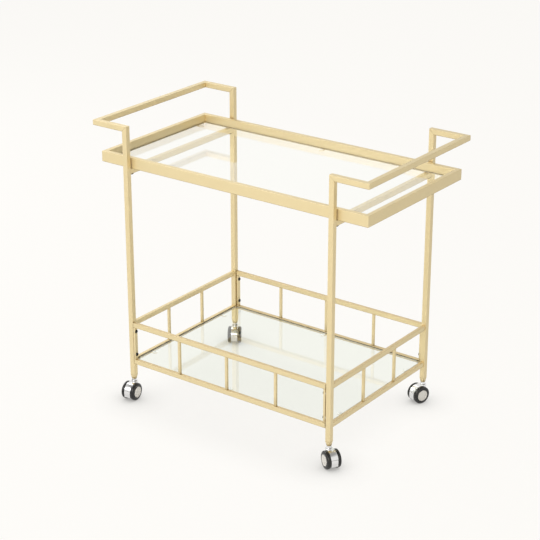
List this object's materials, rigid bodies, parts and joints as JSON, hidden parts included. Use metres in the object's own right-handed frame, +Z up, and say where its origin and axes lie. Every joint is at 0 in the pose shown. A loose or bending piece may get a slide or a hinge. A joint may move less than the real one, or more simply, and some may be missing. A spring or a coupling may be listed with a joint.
{
  "type": "bar cart",
  "caption": "Two-tier bar cart with out-turned handles, a glass tray, a gallery-railed glass shelf and braked swivel casters.",
  "frame": {"origin": "on the floor, midway between the four legs", "axes": "+X along the cart's length towards the right end, +Z up, -Y towards the front long side"},
  "size_m": [0.884, 0.5244, 0.798],
  "materials": {
    "gold": "satin pale gold",
    "clear_glass": "clear polished",
    "clear_pad": "clear satin",
    "black_fastener": "black",
    "plain_steel": "plain",
    "chrome": "polished",
    "black_wheel": "semi-gloss",
    "silver_cap": "satin silver"
  },
  "bodies": {
    "frame": {"left_front_post": "gold", "left_rear_post": "gold", "right_front_post": "gold", "right_rear_post": "gold", "left_handle": "gold", "right_handle": "gold", "left_side_rails": "gold", "right_side_rails": "gold", "left_side_balusters": "gold", "right_side_balusters": "gold", "front_gallery_rails": "gold", "rear_gallery_rails": "gold", "front_gallery_uprights": "gold", "rear_gallery_uprights": "gold", "front_gallery_balusters": "gold", "rear_gallery_balusters": "gold", "tray_front_rail": "gold", "tray_rear_rail": "gold", "tray_left_rail": "gold", "tray_right_rail": "gold", "tray_crossbars": "gold", "tray_glass_tabs": "gold", "shelf_glass_tabs": "gold", "leg_plugs": "gold", "tray_glass": "clear_glass", "shelf_glass": "clear_glass", "tray_glass_pads": "clear_pad", "shelf_glass_pads": "clear_pad", "gallery_bolts": "black_fastener", "tray_screws": "black_fastener", "gallery_rivet_nuts": "plain_steel", "caster_stems": "chrome"},
    "left_front_caster": {"left_front_caster_hood": "chrome", "left_front_caster_axle": "plain_steel"},
    "left_front_pedal": {"left_front_brake_pedal": "chrome"},
    "left_front_wheel_a": {"left_front_wheel_a": "black_wheel", "left_front_hubcap_a": "silver_cap"},
    "left_front_wheel_b": {"left_front_wheel_b": "black_wheel", "left_front_hubcap_b": "silver_cap"},
    "right_front_caster": {"right_front_caster_hood": "chrome", "right_front_caster_axle": "plain_steel"},
    "right_front_pedal": {"right_front_brake_pedal": "chrome"},
    "right_front_wheel_a": {"right_front_wheel_a": "black_wheel", "right_front_hubcap_a": "silver_cap"},
    "right_front_wheel_b": {"right_front_wheel_b": "black_wheel", "right_front_hubcap_b": "silver_cap"},
    "right_rear_caster": {"right_rear_caster_hood": "chrome", "right_rear_caster_axle": "plain_steel"},
    "right_rear_pedal": {"right_rear_brake_pedal": "chrome"},
    "right_rear_wheel_a": {"right_rear_wheel_a": "black_wheel", "right_rear_hubcap_a": "silver_cap"},
    "right_rear_wheel_b": {"right_rear_wheel_b": "black_wheel", "right_rear_hubcap_b": "silver_cap"},
    "left_rear_caster": {"left_rear_caster_hood": "chrome", "left_rear_caster_axle": "plain_steel"},
    "left_rear_pedal": {"left_rear_brake_pedal": "chrome"},
    "left_rear_wheel_a": {"left_rear_wheel_a": "black_wheel", "left_rear_hubcap_a": "silver_cap"},
    "left_rear_wheel_b": {"left_rear_wheel_b": "black_wheel", "left_rear_hubcap_b": "silver_cap"}
  },
  "joints": [
    {"name": "left_front_swivel", "type": "hinge", "parent": "frame", "child": "left_front_caster", "pos_m": [-0.3325, -0.2325, 0.05], "axis": [0, 0, 1], "continuous": true},
    {"name": "left_front_wheel_a_spin", "type": "hinge", "parent": "left_front_caster", "child": "left_front_wheel_a", "pos_m": [-0.33067, -0.24739, 0.025], "axis": [0.9925, 0.1219, 0], "continuous": true},
    {"name": "left_front_wheel_b_spin", "type": "hinge", "parent": "left_front_caster", "child": "left_front_wheel_b", "pos_m": [-0.33067, -0.24739, 0.025], "axis": [0.9925, 0.1219, 0], "continuous": true},
    {"name": "left_front_pedal_press", "type": "hinge", "parent": "left_front_caster", "child": "left_front_pedal", "pos_m": [-0.33067, -0.24739, 0.025], "axis": [0.9925, 0.1219, 0], "range_deg": [0, 14]},
    {"name": "right_front_swivel", "type": "hinge", "parent": "frame", "child": "right_front_caster", "pos_m": [0.3325, -0.2325, 0.05], "axis": [0, 0, 1], "continuous": true},
    {"name": "right_front_wheel_a_spin", "type": "hinge", "parent": "right_front_caster", "child": "right_front_wheel_a", "pos_m": [0.34536, -0.24023, 0.025], "axis": [0.515, 0.8572, 0], "continuous": true},
    {"name": "right_front_wheel_b_spin", "type": "hinge", "parent": "right_front_caster", "child": "right_front_wheel_b", "pos_m": [0.34536, -0.24023, 0.025], "axis": [0.515, 0.8572, 0], "continuous": true},
    {"name": "right_front_pedal_press", "type": "hinge", "parent": "right_front_caster", "child": "right_front_pedal", "pos_m": [0.34536, -0.24023, 0.025], "axis": [0.515, 0.8572, 0], "range_deg": [0, 14]},
    {"name": "right_rear_swivel", "type": "hinge", "parent": "frame", "child": "right_rear_caster", "pos_m": [0.3325, 0.2325, 0.05], "axis": [0, 0, 1], "continuous": true},
    {"name": "right_rear_wheel_a_spin", "type": "hinge", "parent": "right_rear_caster", "child": "right_rear_wheel_a", "pos_m": [0.32712, 0.2185, 0.025], "axis": [0.9336, -0.3584, 0], "continuous": true},
    {"name": "right_rear_wheel_b_spin", "type": "hinge", "parent": "right_rear_caster", "child": "right_rear_wheel_b", "pos_m": [0.32712, 0.2185, 0.025], "axis": [0.9336, -0.3584, 0], "continuous": true},
    {"name": "right_rear_pedal_press", "type": "hinge", "parent": "right_rear_caster", "child": "right_rear_pedal", "pos_m": [0.32712, 0.2185, 0.025], "axis": [0.9336, -0.3584, 0], "range_deg": [0, 14]},
    {"name": "left_rear_swivel", "type": "hinge", "parent": "frame", "child": "left_rear_caster", "pos_m": [-0.3325, 0.2325, 0.05], "axis": [0, 0, 1], "continuous": true},
    {"name": "left_rear_wheel_a_spin", "type": "hinge", "parent": "left_rear_caster", "child": "left_rear_wheel_a", "pos_m": [-0.32433, 0.21992, 0.025], "axis": [0.8387, 0.5446, 0], "continuous": true},
    {"name": "left_rear_wheel_b_spin", "type": "hinge", "parent": "left_rear_caster", "child": "left_rear_wheel_b", "pos_m": [-0.32433, 0.21992, 0.025], "axis": [0.8387, 0.5446, 0], "continuous": true},
    {"name": "left_rear_pedal_press", "type": "hinge", "parent": "left_rear_caster", "child": "left_rear_pedal", "pos_m": [-0.32433, 0.21992, 0.025], "axis": [0.8387, 0.5446, 0], "range_deg": [0, 14]}
  ]
}
